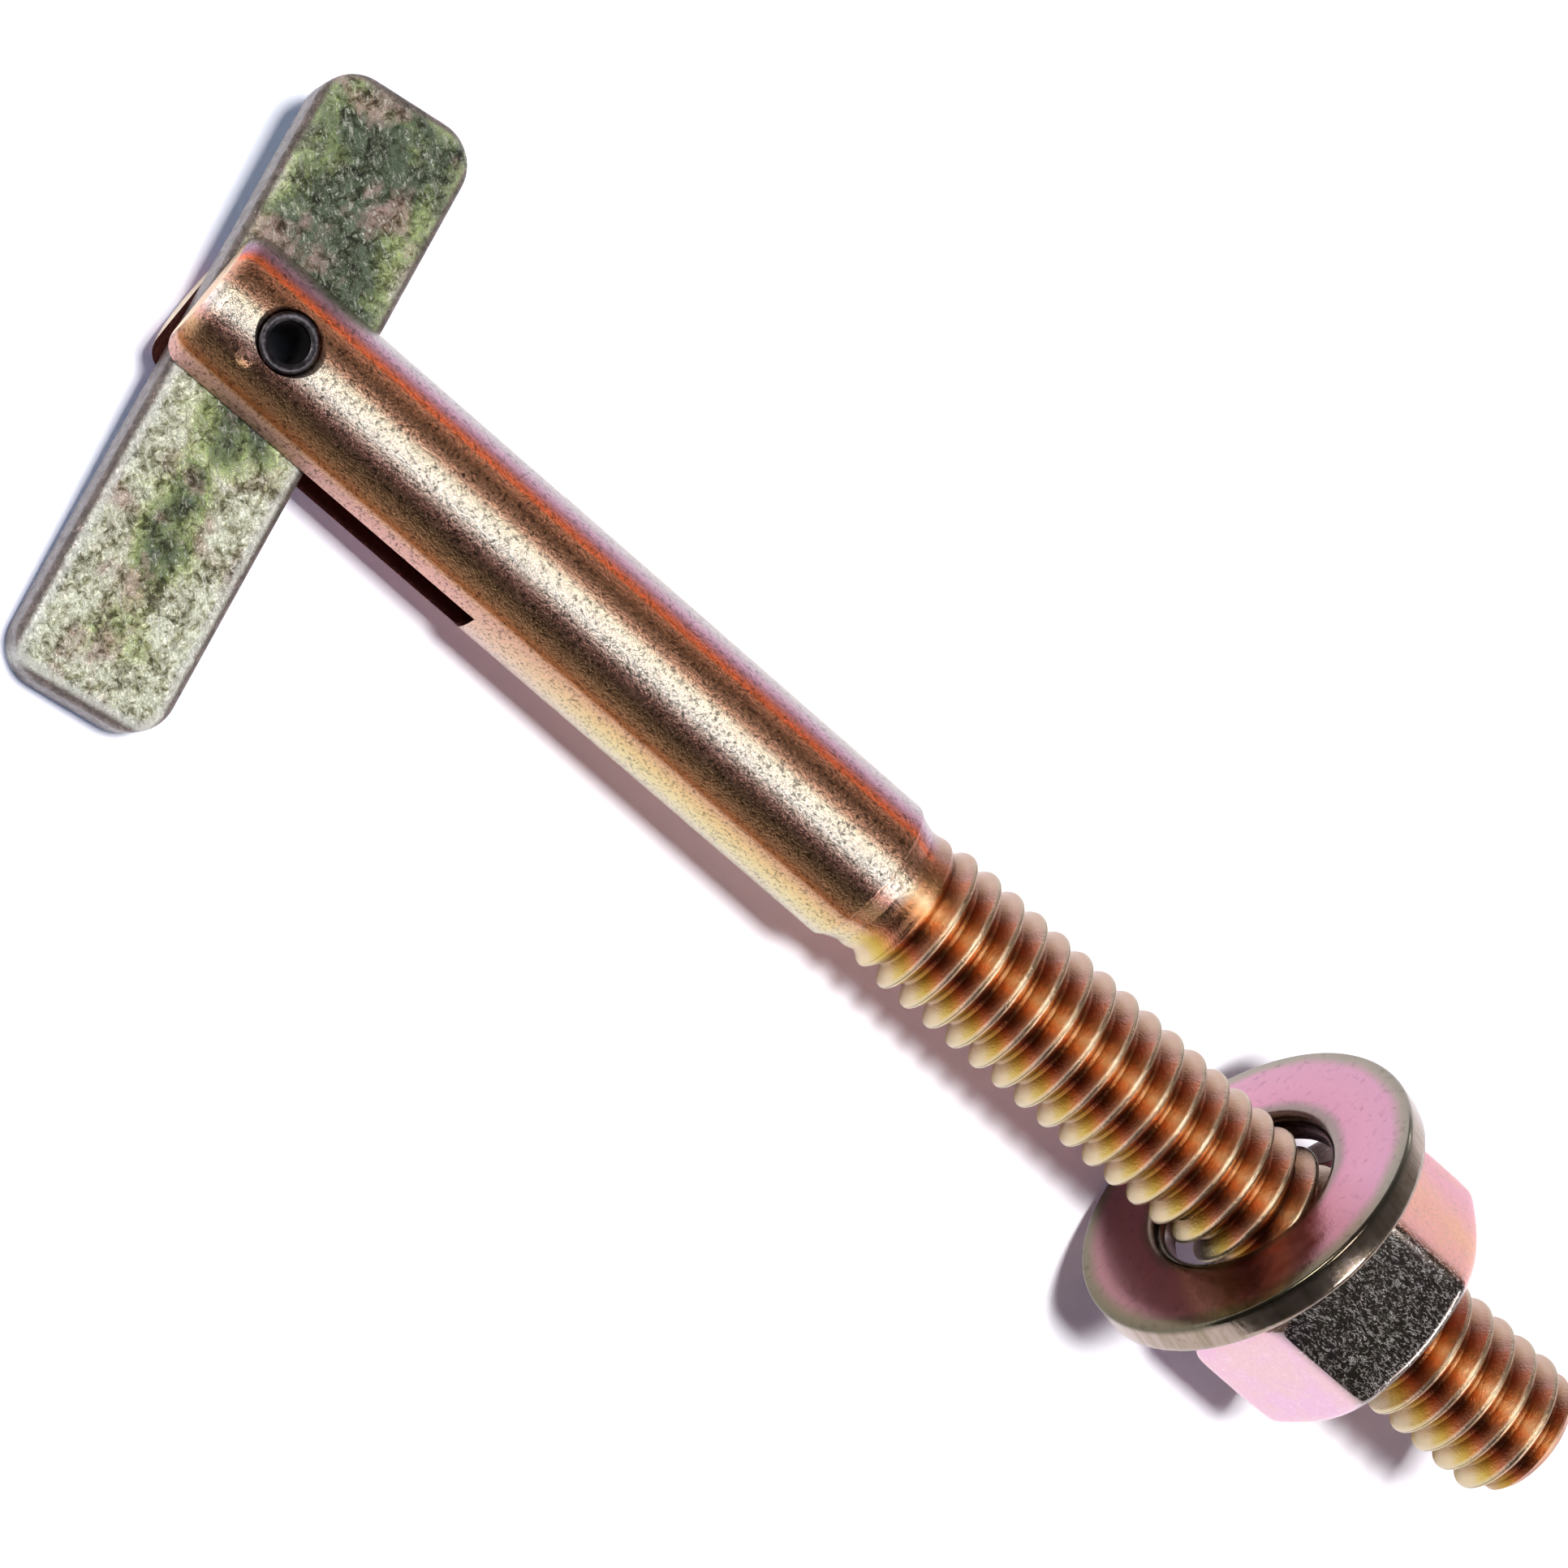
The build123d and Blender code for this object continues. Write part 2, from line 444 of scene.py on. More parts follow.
def soft_least(a, b, blend):
    """The smaller of two values, rounded where they are closer than blend. A part of blend is
    given back, so that less is lost beside the rounding."""
    given_back = 0.06
    return (a + b - sqrt((a - b) ** 2 + blend * blend)) / 2 + blend * given_back


def nut_outline(angle):
    """Radius of the hexagon at an angle, with softened corners."""
    turned = (angle - NUT_TURN + pi / 6) % (pi / 3) - pi / 6
    off_flat = pi / 6 - abs(turned)
    near = NUT_FLAT_RADIUS / cos(off_flat)
    far = NUT_FLAT_RADIUS / cos(pi / 3 - off_flat)
    return soft_least(near, far, NUT_ROUNDING / 2)


def draw_nut():
    """Hexagon with chamfered corners, and a bore with the stud's own thread in it."""
    top = NUT_STATION + NUT_HEIGHT
    mouth = NUT_BORE_RADIUS + NUT_MOUTH
    face = NUT_FACE_RADIUS - NUT_END_RING
    heights = [*NUT_LEVELS, NUT_HEIGHT / 2]
    heights += [NUT_HEIGHT - height for height in reversed(NUT_LEVELS)]
    angles = [2 * pi * k / NUT_STEPS for k in range(NUT_STEPS)]

    def outside(height):
        cone = NUT_FACE_RADIUS + min(height, NUT_HEIGHT - height) / tan(NUT_CHAMFER)
        row = []
        for angle in angles:
            radius = soft_least(nut_outline(angle), cone, NUT_ROUNDING)
            row.append(Vector((radius * cos(angle), radius * sin(angle), NUT_STATION + height)))
        return row

    def bore_at(station, depth):
        gap = NUT_BORE_RADIUS - THREAD_RADIUS
        from_end = min(station - NUT_STATION, top - station)
        return max(THREAD_RADIUS - depth * THREAD_DEPTH + gap, mouth - from_end)

    rows = [ring(mouth, NUT_STATION, NUT_STEPS), ring(face, NUT_STATION, NUT_STEPS)]
    rows += [outside(height) for height in heights]
    rows += [ring(face, top, NUT_STEPS), ring(mouth, top, NUT_STEPS)]
    bm = bmesh.new()
    skin(bm, rows)
    helix_skin(bm, helix(NUT_STATION, top, NUT_STEPS, bore_at))
    return tidy(bm)


# ------------------------------------------------------------ nodes, added with few words
class Graph:
    """A node tree of a material or of the world."""

    def __init__(self, tree):
        self.tree = tree

    def add(self, kind, sockets=None, **settings):
        """A node of that kind, with its settings, and its sockets linked or set."""
        node = self.tree.nodes.new("ShaderNode" + kind)
        for key, value in settings.items():
            setattr(node, key, value)
        for key, value in (sockets or {}).items():
            self.feed(node.inputs[key], value)
        return node

    def feed(self, socket, value):
        """Links a socket to an output, or sets it to a plain value."""
        if isinstance(value, bpy.types.NodeSocket):
            self.tree.links.new(value, socket)
        else:
            socket.default_value = value

    def maths(self, operation, a, b=0.0, c=0.0):
        """One arithmetic step on up to three values."""
        return self.add("Math", {0: a, 1: b, 2: c}, operation=operation).outputs[0]

    def ramp(self, value, *stops):
        """Colours or greys along a value, from (position, colour) stops."""
        node = self.add("ValToRGB", {"Fac": value})
        band = node.color_ramp
        while len(band.elements) < len(stops):
            band.elements.new(0.5)
        for element, (position, colour) in zip(band.elements, stops):
            element.position = position
            element.color = (*colour, 1) if isinstance(colour, tuple) else (*[colour] * 3, 1)
        return node.outputs["Color"]

    def mix(self, factor, a, b, blend="MIX"):
        """Two colours, mixed by a factor or blended."""
        node = self.add("MixRGB", {0: factor}, blend_type=blend)
        for socket, value in zip((1, 2), (a, b)):
            self.feed(node.inputs[socket], (*value, 1) if isinstance(value, tuple) else value)
        return node.outputs[0]

    def span(self, value, start, width):
        """A value's place in a stretch: 0 at start and 1 at its other end."""
        return self.maths("MULTIPLY_ADD", value, 1 / width, -start / width)

    def rise(self, value, start, width):
        """A value's place in a stretch, held at 0 before it and at 1 past it."""
        return self.ramp(self.span(value, start, width), (0.0, 0.0), (1.0, 1.0))

    def sway(self, value, reach):
        """A value from 0 to 1 as a shift to either side, reach from end to end."""
        return self.maths("MULTIPLY_ADD", value, reach, -reach / 2)


class Finish(Graph):
    """A plated metal, in the millimetres of a piece that was drawn at place."""

    def __init__(self, name, place):
        self.material = bpy.data.materials.new(name)
        self.material.use_nodes = True
        super().__init__(self.material.node_tree)
        self.shader = self.tree.nodes["Principled BSDF"]
        back = place.inverted()
        sockets = {
            "Vector": self.add("TexCoord").outputs["Object"],
            "Location": back.to_translation(),
            "Rotation": back.to_euler(),
            "Scale": back.to_scale(),
        }
        self.local = self.add("Mapping", sockets).outputs[0]

    def part(self, axis):
        """One of the piece's own coordinates."""
        return self.add("SeparateXYZ", {0: self.local}).outputs[axis]

    def radius(self):
        """The distance from the piece's Z axis."""
        squares = [self.maths("MULTIPLY", self.part(k), self.part(k)) for k in range(2)]
        return self.maths("SQRT", self.maths("ADD", *squares))

    def stretched(self, scale):
        """The piece's own coordinates, scaled along each axis."""
        return self.add("VectorMath", {0: self.local, 1: scale}, operation="MULTIPLY").outputs[0]

    def noise(self, scale, detail, roughness=0.55, at=None, distortion=0.0):
        """Clouds or grain from 0 to 1, scale of them to a millimetre."""
        sockets = {"Vector": at or self.local, "Scale": scale, "Detail": detail}
        sockets.update({"Roughness": roughness, "Distortion": distortion})
        return self.add("TexNoise", sockets).outputs["Fac"]

    def strokes(self, turn, size, low, high):
        """Short marks that lie one way, turned about Z: 1 on a mark and 0 beside it."""
        sockets = {"Vector": self.local, "Rotation": (0, 0, turn), "Scale": size}
        turned = self.add("Mapping", sockets, vector_type="TEXTURE").outputs[0]
        grain = self.noise(scale=1.0, detail=4.0, roughness=0.65, at=turned, distortion=1.2)
        return self.ramp(grain, (low, 0.0), (high, 1.0))

    def finish(self, colour, roughness, height, depth, metallic=1.0):
        """Feeds the shader: a metal of that colour and roughness, with a bump depth mm deep."""
        self.feed(self.shader.inputs["Base Color"], colour)
        self.feed(self.shader.inputs["Roughness"], roughness)
        self.feed(self.shader.inputs["Metallic"], metallic)
        bump = self.add("Bump", {"Strength": 1.0, "Distance": depth * MM, "Height": height})
        self.feed(self.shader.inputs["Normal"], bump.outputs[0])
        return self.material


# ------------------------------------------------------------ finishes
# How near to a face or a wall a point counts as on it, in mm
NEAR_END_FACE = 0.02
NEAR_SLOT_WALL = 0.01
NEAR_PIN_BORE = 0.03
# Where the thread's tint takes over from the shank's, and where its roots and crests are, in mm
THREAD_TINT_START = SHANK_LENGTH + 0.8
THREAD_TINT_BLEND = 0.6
RIB_ROOT = 2.35
RIB_HEIGHT = 0.9
# How far the hole's painted shade reaches out, and how far behind its front the washer's edge tint
# starts and how soon it is full, in mm
WASHER_HOLE_REACH = 1.15
WASHER_EDGE_START = 0.2
WASHER_EDGE_BLEND = 0.25
# Where the nut's middle faces are centred along X, in mm, and how fast their scratches and pits
# fade
NUT_MIDDLE_FACES_X = -1.2
NUT_MIDDLE_FACES_FADE = 0.3
# A small dent beside the pin
DENT_PLACE = (-1.5, 2.88, PIN_STATION - 0.9)
DENT_DEPTH = 4.0


def stud_finish(place):
    """Yellow zinc over turned steel. Its tint lies in bands along the stud, from rose over
    copper and pale gold to straw, and painted reflections lie in these bands. The thread's ribs
    have painted shade in their roots and silvery crests; painted shade also darkens the flanks and
    the slot's walls."""
    g = Finish("plated_stud", place)
    x, y, z = (g.part(k) for k in range(3))
    drift = g.noise(scale=0.2, detail=3.0, at=g.stretched((1, 1, 0.3)))
    # From 0 on the stud's +X side to 1 on its -X side, with 0.5 along its top and underside
    turn = g.maths("MULTIPLY", g.maths("ABSOLUTE", g.maths("ARCTAN2", y, x)), 1 / pi)
    turn = g.maths("ADD", turn, g.sway(drift, reach=0.03))

    # The shank's bands, with painted reflections in them, and flecks that the turning left
    # Painted reflections: the pale stops from 0.50 to 0.57 lie under the pane's highlight, the
    # orange line from 0.308 to 0.352 under the slit, and the darker stops around 0.40 and from
    # 0.75 to 0.782 where the dark room is mirrored
    tint = g.ramp(
        turn,
        (0.06, (0.88, 0.72, 0.42)),
        (0.18, (0.80, 0.72, 0.70)),
        (0.25, (0.88, 0.50, 0.64)),
        (0.28, (0.64, 0.26, 0.32)),
        (0.308, (0.80, 0.20, 0.12)),
        (0.332, (1.0, 0.20, 0.05)),
        (0.352, (0.74, 0.30, 0.17)),
        (0.40, (0.60, 0.28, 0.16)),
        (0.46, (0.80, 0.44, 0.28)),
        (0.50, (0.92, 0.78, 0.60)),
        (0.57, (0.94, 0.84, 0.74)),
        (0.63, (0.78, 0.42, 0.33)),
        (0.69, (0.62, 0.36, 0.18)),
        (0.75, (0.42, 0.20, 0.09)),
        (0.782, (0.44, 0.15, 0.05)),
        (0.802, (0.95, 0.56, 0.32)),
        (0.85, (1.0, 0.72, 0.34)),
        (0.91, (0.98, 0.84, 0.44)),
        (1.0, (0.86, 0.78, 0.54)),
    )
    # Its -X side is rosy beside the slot, and less so towards the thread
    by_slot = g.ramp(g.span(z, start=14.0, width=10.0), (0.0, 0.85), (0.9, 0.0))
    rosy = g.maths("MULTIPLY", g.ramp(turn, (0.79, 0.0), (0.82, 1.0)), by_slot)
    tint = g.mix(rosy, tint, (0.90, 0.50, 0.45))
    flecks = g.ramp(g.noise(scale=6.0, detail=6.0, roughness=0.75), (0.40, 0.2), (0.48, 1.0))
    shank = g.mix(0.8, tint, flecks, "MULTIPLY")

    # The thread's bands, with painted reflections in them: a bright band around 0.52 and a dark
    # band around 0.70. Painted shade darkens the roots, and the crests are silvery
    around = g.ramp(
        turn,
        (0.20, (0.78, 0.53, 0.38)),
        (0.30, (0.72, 0.38, 0.30)),
        (0.322, (0.70, 0.28, 0.17)),
        (0.362, (0.68, 0.25, 0.13)),
        (0.42, (0.66, 0.32, 0.15)),
        (0.47, (0.84, 0.42, 0.20)),
        (0.52, (1.0, 0.68, 0.40)),
        (0.57, (0.98, 0.46, 0.20)),
        (0.64, (0.66, 0.30, 0.15)),
        (0.70, (0.46, 0.20, 0.11)),
        (0.742, (0.66, 0.24, 0.13)),
        (0.785, (0.80, 0.40, 0.11)),
        (0.83, (0.80, 0.56, 0.10)),
        (0.88, (0.84, 0.64, 0.20)),
        (0.93, (0.92, 0.75, 0.44)),
    )
    up_rib = g.span(g.radius(), start=RIB_ROOT, width=RIB_HEIGHT)
    # Painted shade: the roots of the ribs are darker
    painted_root_shade = g.ramp(up_rib, (0.0, (0.50, 0.34, 0.26)), (0.3, (0.76, 0.64, 0.52)), (0.6, (1, 1, 1)))
    thread = g.mix(1.0, around, painted_root_shade, "MULTIPLY")
    thread = g.mix(g.ramp(up_rib, (0.80, 0.0), (0.9, 0.6)), thread, (0.84, 0.74, 0.54))

    # Both together, with painted shade on the flanks that mirror the paper, plain end faces, and
    # painted shade on the slot's walls
    on_thread = g.rise(z, start=THREAD_TINT_START, width=THREAD_TINT_BLEND)
    colour = g.mix(on_thread, shank, thread)
    # Painted shade: the flanks towards +X and -X are darkened
    painted_flank_shade = g.ramp(turn, (0.27, 0.60), (0.35, 1.0), (0.74, 1.0), (0.81, 0.64))
    colour = g.mix(1.0, colour, painted_flank_shade, "MULTIPLY")
    from_middle = g.maths("ABSOLUTE", g.maths("SUBTRACT", z, STUD_LENGTH / 2))
    on_end = g.maths("GREATER_THAN", from_middle, STUD_LENGTH / 2 - NEAR_END_FACE)
    end_tint = g.ramp(drift, (0.4, (0.74, 0.46, 0.22)), (0.6, (0.84, 0.66, 0.34)))
    colour = g.mix(on_end, colour, end_tint)
    # Painted shade: the slot's walls are dark
    in_width = g.maths("COMPARE", y, 0.0, SLOT_WIDTH / 2 + NEAR_SLOT_WALL)
    in_depth = g.maths("LESS_THAN", z, SLOT_DEPTH + NEAR_SLOT_WALL)
    colour = g.mix(g.maths("MULTIPLY", in_width, in_depth), colour, (0.20, 0.07, 0.06))

    # Fine grain and the dent, polished less on the thread than on the shank
    to_dent = g.add("VectorMath", {0: g.local, 1: DENT_PLACE}, operation="DISTANCE")
    dent = g.ramp(to_dent.outputs["Value"], (0.1, 0.0), (0.4, 1.0))
    coarse = g.maths("MULTIPLY", g.noise(scale=3.0, detail=3.0, roughness=0.6), 0.35)
    grain = g.maths("ADD", coarse, g.noise(scale=10.0, detail=4.0, roughness=0.7))
    height = g.maths("ADD", grain, g.maths("MULTIPLY", dent, DENT_DEPTH))
    rough = g.ramp(g.noise(scale=2.4, detail=5.0), (0.35, 0.11), (0.65, 0.20))
    rough = g.mix(on_thread, rough, (0.2, 0.2, 0.2))
    return g.finish(colour, rough, height, depth=0.026)


def pin_finish(place):
    """Dark oiled steel; its bore is painted near black as shade."""
    g = Finish("dark_pin", place)
    wear = g.noise(scale=2.6, detail=5.0, roughness=0.6)
    steel = g.ramp(
        wear,
        (0.3, (0.04, 0.035, 0.04)),
        (0.6, (0.11, 0.10, 0.11)),
        (0.72, (0.42, 0.39, 0.37)),
    )
    # Painted shade: the bore is near black and matt
    outside = g.maths("GREATER_THAN", g.radius(), PIN_BORE_RADIUS + NEAR_PIN_BORE)
    colour = g.mix(outside, (0.012, 0.008, 0.008), steel)
    rough = g.mix(outside, (0.9, 0.9, 0.9), g.ramp(wear, (0.3, 0.26), (0.7, 0.42)))
    height = g.noise(scale=7.0, detail=4.0)
    return g.finish(colour, rough, height, depth=0.02, metallic=outside)


def bar_finish(place):
    """Tumbled plate: green and olive clouds, worn through in specks, and crossed by short bright
    marks. A painted reflection pales the clouds towards the outline and the long arm's end and
    keeps them darker green along the middle, and a painted highlight runs along the border. Its
    very edge is dark."""
    g = Finish("plated_bar", place)
    x, y = g.part(0), g.part(1)
    middle, half = (LONG_ARM - SHORT_ARM) / 2, (LONG_ARM + SHORT_ARM) / 2
    # 1 along the bar's outline and 0 along its middle line
    aside = g.maths("MULTIPLY", g.maths("ABSOLUTE", y), 2 / BAR_WIDTH)
    along = g.maths("ABSOLUTE", g.maths("SUBTRACT", x, middle))
    along = g.span(along, start=half - BAR_WIDTH / 2, width=BAR_WIDTH / 2)
    edge = g.maths("SMOOTH_MAX", aside, along, 0.4)

    # Painted reflection: the clouds are greener along the middle line and paler towards the
    # outline and the long arm's end
    cloud = g.noise(scale=0.3, detail=4.0, roughness=0.6, distortion=0.8)
    clouds_and_painted_sheen = g.maths("ADD", edge, g.maths("MULTIPLY_ADD", cloud, 1.9, -1.05))
    clouds_and_painted_sheen = g.maths("ADD", clouds_and_painted_sheen, g.maths("MULTIPLY_ADD", x, 0.04, -0.1))
    tone = g.ramp(
        clouds_and_painted_sheen,
        (0.05, (0.11, 0.15, 0.09)),
        (0.22, (0.25, 0.32, 0.14)),
        (0.38, (0.48, 0.58, 0.25)),
        (0.52, (0.78, 0.84, 0.48)),
        (0.72, (0.98, 1.0, 0.80)),
    )
    blush = g.noise(scale=0.42, detail=3.0, roughness=0.6, at=g.stretched((1, 1, 4)))
    tone = g.mix(g.ramp(blush, (0.54, 0.0), (0.64, 0.7)), tone, (0.66, 0.42, 0.40))

    # Specks where the plating is worn, and bright marks where it was struck
    fine = g.noise(scale=2.6, detail=5.0, roughness=0.85, distortion=0.6)
    coarse = g.noise(scale=0.9, detail=3.0, roughness=0.6)
    grain = g.maths("MULTIPLY_ADD", coarse, 0.35, g.maths("MULTIPLY", fine, 0.65))
    worn = g.ramp(grain, (0.41, (0.09, 0.08, 0.05)), (0.47, (0.42, 0.40, 0.30)), (0.53, (1, 1, 1)))
    marks = g.maths(
        "MAXIMUM",
        g.strokes(turn=0.75, size=(0.42, 0.14, 1), low=0.53, high=0.59),
        g.strokes(turn=-0.3, size=(0.2, 0.12, 1), low=0.55, high=0.61),
    )
    marks = g.maths("MULTIPLY", marks, g.ramp(fine, (0.42, 0.0), (0.52, 0.9)))
    bright = g.mix(0.5, tone, (1.0, 1.0, 0.85))
    colour = g.mix(marks, g.mix(1.0, tone, worn, "MULTIPLY"), bright)

    # A painted highlight along the border comes and goes along the outline, and the rim outside it
    # is dark
    painted_border_highlight = g.maths("MULTIPLY_ADD", fine, 0.3, edge)
    painted_border_highlight = g.ramp(painted_border_highlight, (0.94, 0.0), (1.0, 0.7))
    patchy = g.ramp(g.maths("MULTIPLY_ADD", x, 1 / 30, cloud), (0.35, 0.1), (0.7, 1.0))
    colour = g.mix(g.maths("MULTIPLY", painted_border_highlight, patchy), colour, (1.0, 0.99, 0.92))
    rim = g.ramp(g.maths("MULTIPLY_ADD", fine, 0.12, edge), (0.95, 0.0), (1.0, 0.95))
    rim_tint = g.ramp(fine, (0.4, (0.08, 0.06, 0.05)), (0.6, (0.26, 0.19, 0.17)))
    colour = g.mix(rim, colour, rim_tint)

    height = g.maths("ADD", g.maths("MULTIPLY", marks, 0.5), fine)
    rough = g.ramp(fine, (0.35, 0.42), (0.6, 0.24))
    return g.finish(colour, rough, height, depth=0.05, metallic=0.35)


def washer_finish(place):
    """Smooth rose plating that turns grey-olive on the rolled edges, and darker towards -X with
    painted shade where it mirrors the thread's shadow. The wall of the hole is dark with painted
    shade."""
    g = Finish("plated_washer", place)
    x, z = g.part(0), g.part(2)
    radius = g.radius()
    wander = g.sway(g.noise(scale=0.45, detail=3.0), reach=0.5)
    # Painted shade: the stops up to 0.18 darken the hole's wall and its rolled edge
    face = g.ramp(
        g.span(g.maths("ADD", radius, wander), start=3.7, width=4.0),
        (0.02, (0.08, 0.06, 0.05)),
        (0.10, (0.24, 0.20, 0.17)),
        (0.18, (0.28, 0.21, 0.20)),
        (0.28, (0.52, 0.25, 0.33)),
        (0.5, (0.54, 0.27, 0.35)),
        (0.76, (0.52, 0.27, 0.36)),
        (0.88, (0.30, 0.26, 0.21)),
        (1.0, (0.22, 0.21, 0.17)),
    )
    # Painted shade towards -X, where the face mirrors the shadowed paper under the thread
    painted_reflected_shade = g.ramp(
        g.span(g.maths("ADD", x, wander), start=-6.0, width=12.0),
        (0.3, (0.54, 0.52, 0.42)),
        (0.5, (0.80, 0.68, 0.62)),
        (0.72, (1, 1, 1)),
    )
    face = g.mix(1.0, face, painted_reflected_shade, "MULTIPLY")

    streaks = g.noise(scale=2.4, detail=4.0, roughness=0.6, at=g.stretched((1, 1, 0.1)))
    rim = g.ramp(
        streaks,
        (0.3, (0.26, 0.21, 0.14)),
        (0.5, (0.36, 0.28, 0.22)),
        (0.75, (0.46, 0.36, 0.34)),
    )
    # Painted shade in the hole
    in_hole = g.maths("LESS_THAN", radius, WASHER_HOLE_RADIUS + WASHER_HOLE_REACH)
    rim = g.mix(in_hole, rim, (0.10, 0.05, 0.035))
    on_rim = g.rise(z, start=WASHER_EDGE_START, width=WASHER_EDGE_BLEND)
    colour = g.mix(on_rim, face, rim)
    spots = g.ramp(g.noise(scale=2.4, detail=5.0, roughness=0.7), (0.3, 0.7), (0.45, 1.0))
    colour = g.mix(1.0, colour, spots, "MULTIPLY")

    grain = g.noise(scale=4.0, detail=4.0, roughness=0.6)
    height = g.maths("ADD", grain, g.maths("MULTIPLY", streaks, on_rim))
    rough = g.ramp(g.noise(scale=1.2, detail=3.0), (0.3, 0.14), (0.7, 0.24))
    return g.finish(colour, rough, height, depth=0.006)


def nut_finish(place):
    """Plating that is pink, dark grey or orange on one side or another: the pink and orange partly
    its own tint, the dark grey of the middle faces a painted reflection of the dark room. These
    grey faces are scratched and pitted, and the bearing face is darkened with painted shade."""
    g = Finish("plated_nut", place)
    x, z = g.part(0), g.part(2)
    # Painted reflection: the dark grey from 0.14 to 0.625 stands for the dark room that the middle
    # faces mirror
    tone = g.ramp(
        g.span(x, start=-6.0, width=12.0),
        (0.12, (0.68, 0.45, 0.55)),
        (0.14, (0.26, 0.22, 0.21)),
        (0.625, (0.25, 0.21, 0.20)),
        (0.645, (0.76, 0.39, 0.34)),
        (0.8, (0.76, 0.40, 0.29)),
        (0.95, (0.72, 0.38, 0.42)),
    )
    clouds = g.noise(scale=0.5, detail=3.0, roughness=0.6)
    clouds = g.ramp(clouds, (0.4, (1.0, 0.93, 0.98)), (0.6, (1.0, 1.0, 0.86)))
    tone = g.mix(1.0, tone, clouds, "MULTIPLY")
    # Painted shade on the bearing face, seen through the washer's hole
    seat = g.maths("LESS_THAN", z, NUT_STATION + NEAR_END_FACE)
    tone = g.mix(seat, tone, (0.12, 0.06, 0.045))

    # Scratches and pits on the middle faces
    off_middle = g.maths("ABSOLUTE", g.maths("SUBTRACT", x, NUT_MIDDLE_FACES_X))
    off_middle = g.maths("MULTIPLY", off_middle, NUT_MIDDLE_FACES_FADE)
    middle_faces = g.ramp(off_middle, (0.75, 1.0), (1.0, 0.12))
    grain = g.noise(scale=7.0, detail=6.0, roughness=0.8)
    scratches = g.maths(
        "MAXIMUM",
        g.strokes(turn=0.9, size=(0.36, 0.10, 0.3), low=0.58, high=0.62),
        g.strokes(turn=-0.4, size=(0.10, 0.34, 0.2), low=0.58, high=0.62),
    )
    pits = g.ramp(grain, (0.38, 0.35), (0.5, 1.0))
    colour = g.mix(middle_faces, tone, g.mix(1.0, tone, pits, "MULTIPLY"))
    colour = g.mix(g.maths("MULTIPLY", scratches, middle_faces), colour, (1.0, 0.98, 0.95))

    height = g.maths("MULTIPLY", g.maths("MULTIPLY_ADD", grain, 0.4, scratches), middle_faces)
    rough = g.ramp(grain, (0.35, 0.20), (0.6, 0.12))
    return g.finish(colour, rough, height, depth=0.012)


piece("anchor_stud_looks", draw_stud(), Matrix.Identity(4), "stud", stud_finish, crease=40)
piece("pivot_pin_looks", draw_pin(), pin_place, "stud", pin_finish)
piece("toggle_bar_looks", draw_bar(), bar_place, "toggle", bar_finish)
piece("flat_washer_looks", draw_washer(), washer_place, "washer", washer_finish)
piece("hex_nut_looks", draw_nut(), Matrix.Identity(4), "nut", nut_finish, crease=40)

# ------------------------------------------------------------ camera
# Its place, in metres, its aim, in degrees, and its lens, in mm, were fitted to the anchor's
# own measures
CAMERA_PLACE = (-0.071492, -0.074445, 0.18042)
CAMERA_TURN = (6.2254, -29.4847, 36.9633)
CAMERA_LENS = 118.661
CAMERA_SENSOR = 36
CAMERA_CLIP_START = 0.01

camera_data = bpy.data.cameras.new("camera")
camera_data.lens = CAMERA_LENS
camera_data.sensor_width = CAMERA_SENSOR
camera_data.clip_start = CAMERA_CLIP_START
camera = bpy.data.objects.new("camera", camera_data)
camera.location = CAMERA_PLACE
camera.rotation_euler = [radians(angle) for angle in CAMERA_TURN]
bpy.context.scene.collection.objects.link(camera)
bpy.context.scene.camera = camera


# ------------------------------------------------------------ lamps
def lamp(name, direction, distance, size, radiance, lights=False):
    """A rectangular lamp that faces the anchor. Its size is in metres, along X first. It lights
    matt surfaces and casts shadows, or else it only shines in the metal."""
    data = bpy.data.lights.new(name, "AREA")
    data.shape = "RECTANGLE"
    data.size, data.size_y = size
    data.energy = radiance * pi * size[0] * size[1]
    obj = bpy.data.objects.new(name, data)
    away = Vector(direction).normalized()
    side = (Vector((1, 0, 0)) - away * away.x).normalized()
    obj.matrix_world = frame_of(side, away.cross(side), away, away * distance)
    obj.visible_diffuse = lights
    obj.visible_glossy = not lights
    bpy.context.scene.collection.objects.link(obj)


# One window gives the light and the shadows. The metal shines with a pane above the shank, a
# slit for the shank's far side and two panes for the flanks of the thread
lamp("pane", (0.135, -0.064, 1.0), distance=0.52, size=(0.165, 0.164), radiance=7.5)
lamp("window", (-0.075, -0.095, 1.0), distance=1.0, size=(0.18, 0.18), radiance=85, lights=True)
lamp("slit", (0.12, 0.95, 0.26), distance=0.5, size=(0.26, 0.008), radiance=16)
lamp("side_pane", (-0.72, -0.12, 0.68), distance=0.5, size=(0.12, 0.12), radiance=16)
lamp("far_pane", (0.88, -0.10, 0.46), distance=0.5, size=(0.12, 0.12), radiance=12)

# ------------------------------------------------------------ floor
FLOOR_REACH = 1.5
PAPER_FIBRES = 900
PAPER_DARKER = (0.86, 0.87, 0.88)
PAPER_LIGHTER = (0.90, 0.90, 0.91)
PAPER_SEEN = (1.38, 1.36, 1.42)
# A painted glow on the paper tints its shadows, bluer by the bar than by the nut: from where to
# where along X, in metres, and the lift at either end
LIFT_START = -0.036
LIFT_STOP = -0.012
LIFT_BY_BAR = (0.01, 0.05, 0.14)
LIFT_BY_NUT = (0.015, 0.01, 0.045)


